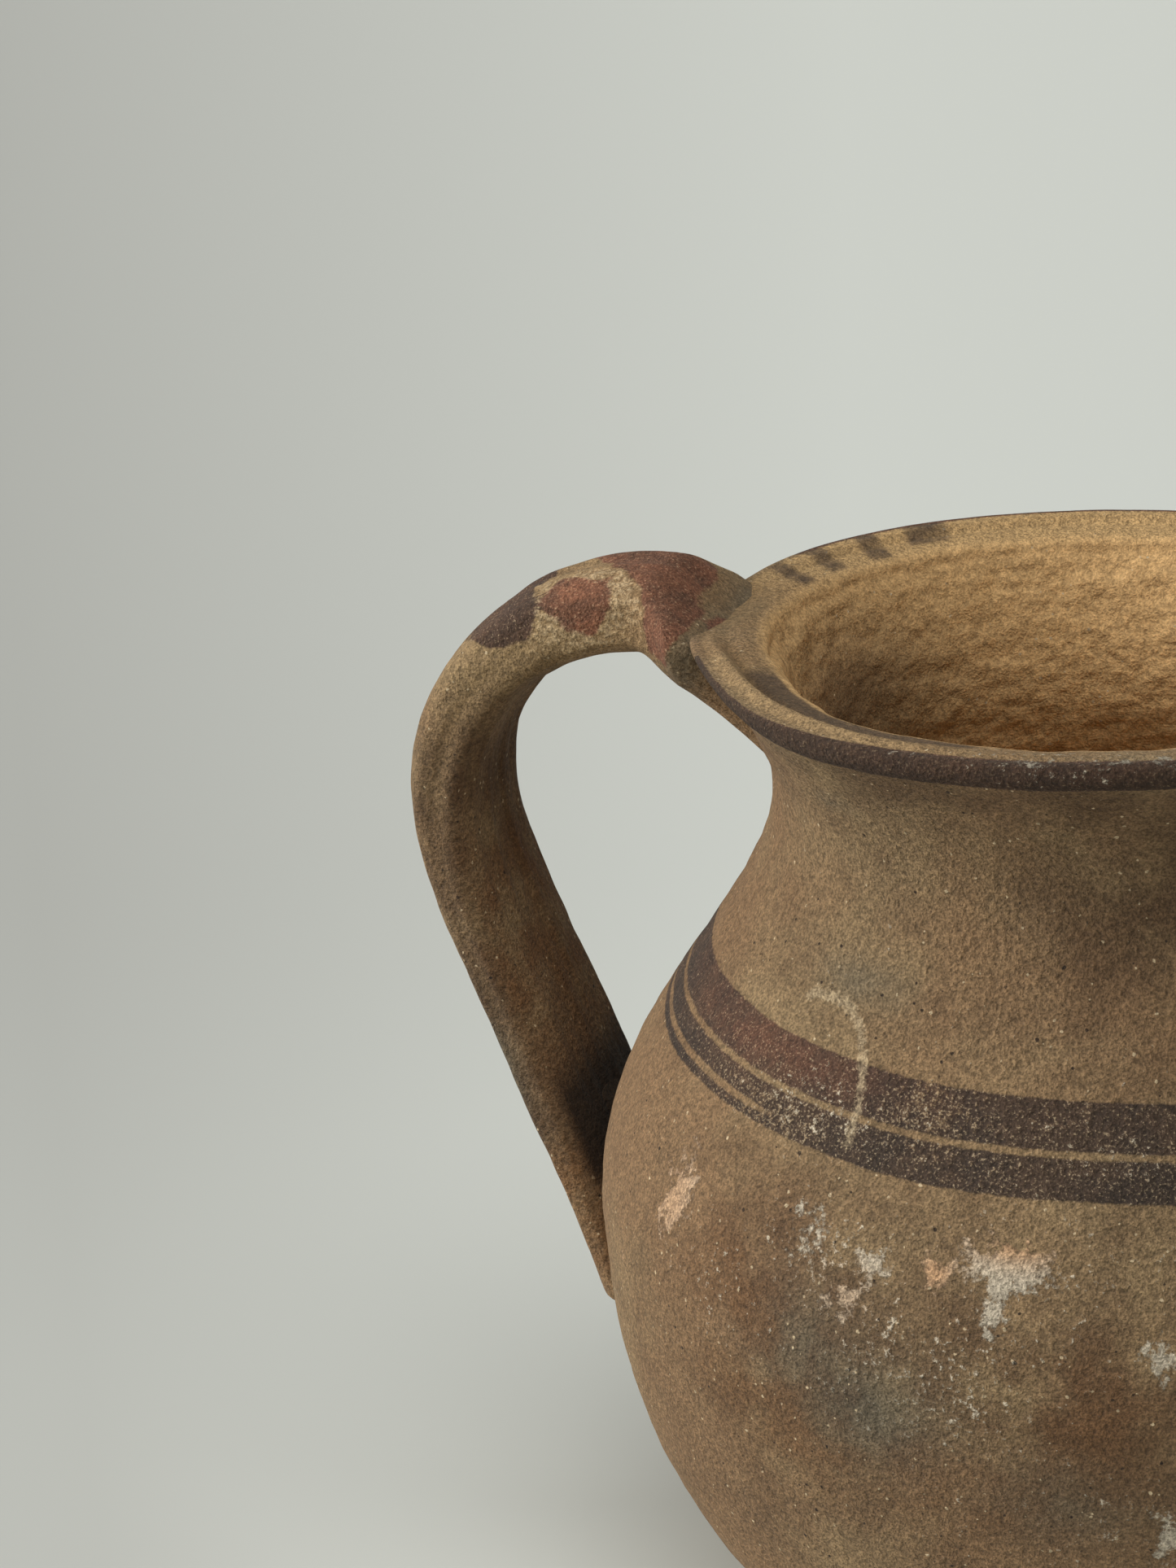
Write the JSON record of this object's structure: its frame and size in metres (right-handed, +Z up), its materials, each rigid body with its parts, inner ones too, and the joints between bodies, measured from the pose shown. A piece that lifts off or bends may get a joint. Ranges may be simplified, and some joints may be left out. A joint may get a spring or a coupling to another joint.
{
  "type": "ceramic jug",
  "caption": "Round-bellied unglazed earthenware jug with a short neck, a wide out-turned rim and a strap handle from rim to belly, for holding and pouring liquids.",
  "frame": {"origin": "centre of the flat base, on the surface that the jug stands on", "axes": "+Z up along the axis of the round body; the handle lies along -X"},
  "size_m": [0.1915, 0.159, 0.1733],
  "materials": {
    "base_clay": "unglazed matt earthenware",
    "belly_clay": "unglazed matt earthenware, mottled, with pale lime crust",
    "shoulder_clay": "unglazed matt earthenware with dark painted bands",
    "neck_clay": "unglazed matt earthenware",
    "rim_clay": "unglazed matt earthenware with a dark painted edge",
    "handle_clay": "unglazed matt earthenware, smoked, with red-brown paint on its crown",
    "top_lute_clay": "unglazed matt earthenware",
    "tail_lute_clay": "unglazed matt earthenware"
  },
  "bodies": {
    "root": {"base_disc": "base_clay", "belly_wall": "belly_clay", "shoulder_wall": "shoulder_clay", "neck_collar": "neck_clay", "rim_lip": "rim_clay", "handle_strap": "handle_clay", "handle_top_lute": "top_lute_clay", "handle_tail_lute": "tail_lute_clay"}
  },
  "joints": []
}
